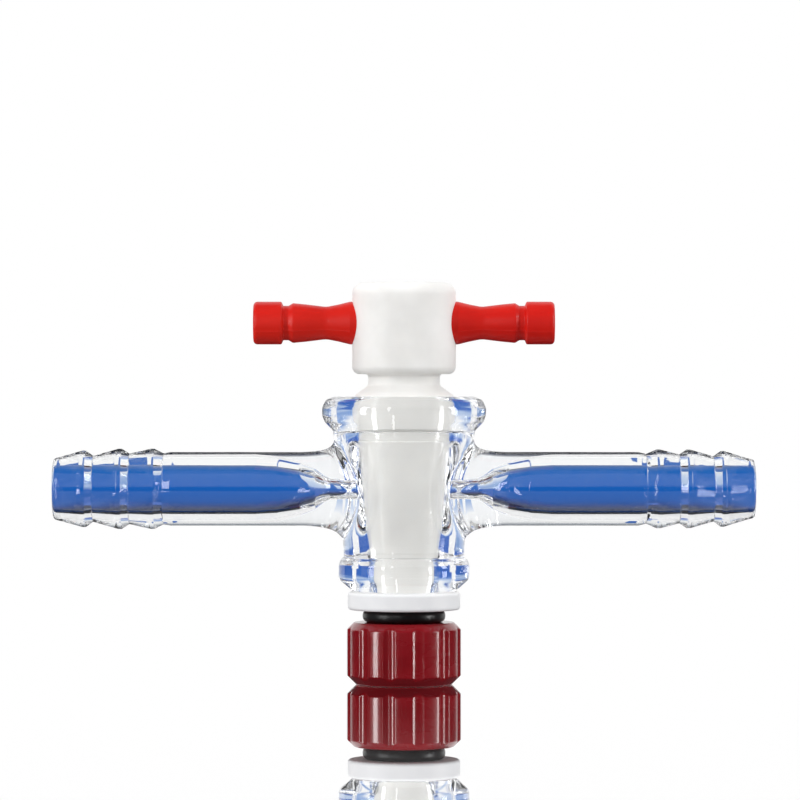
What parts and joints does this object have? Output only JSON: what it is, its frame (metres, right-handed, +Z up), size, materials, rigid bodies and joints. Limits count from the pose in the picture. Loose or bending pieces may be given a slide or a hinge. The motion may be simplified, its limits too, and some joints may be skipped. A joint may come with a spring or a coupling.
{
  "type": "glass stopcock",
  "caption": "Straight glass stopcock with hose barbs, a tapered white plug turned by a red bar handle, and a fluted nut under a washer and ring.",
  "frame": {"origin": "centre of the nut's lower face, on the plug's axis", "axes": "+Z up the plug's axis to the head, +X along the hose arms, towards the right-hand arm"},
  "size_m": [0.0948, 0.0222, 0.0543],
  "materials": {
    "clear_glass": "clear, fire-polished borosilicate",
    "white_plug": "turned white fluoropolymer, waxy",
    "red_handle": "moulded red, glossy",
    "white_washer": "turned white fluoropolymer, waxy",
    "black_rubber": "black rubber, slightly glossy",
    "dark_red_nut": "moulded dark red, glossy"
  },
  "bodies": {
    "glass": {"glass_body": "clear_glass"},
    "key": {"plug": "white_plug", "handle_bar": "red_handle"},
    "seal": {"washer": "white_washer", "o_ring": "black_rubber"},
    "clamp_nut": {"nut": "dark_red_nut"}
  },
  "joints": [
    {"name": "plug_turn", "type": "hinge", "parent": "glass", "child": "key", "pos_m": [0, 0, 0.0264], "axis": [0, 0, 1], "continuous": true},
    {"name": "seal_slide", "type": "slide", "parent": "key", "child": "seal", "axis": [0, 0, -1], "range_m": [0, 0.005]},
    {"name": "nut_turn", "type": "hinge", "parent": "seal", "child": "clamp_nut", "pos_m": [0, 0, 0.0042], "axis": [0, 0, -1], "range_deg": [0, 1440]}
  ],
  "couplings": [
    {"joint": "nut_turn", "follows": "seal_slide", "rad_per_m": 5026.5}
  ]
}
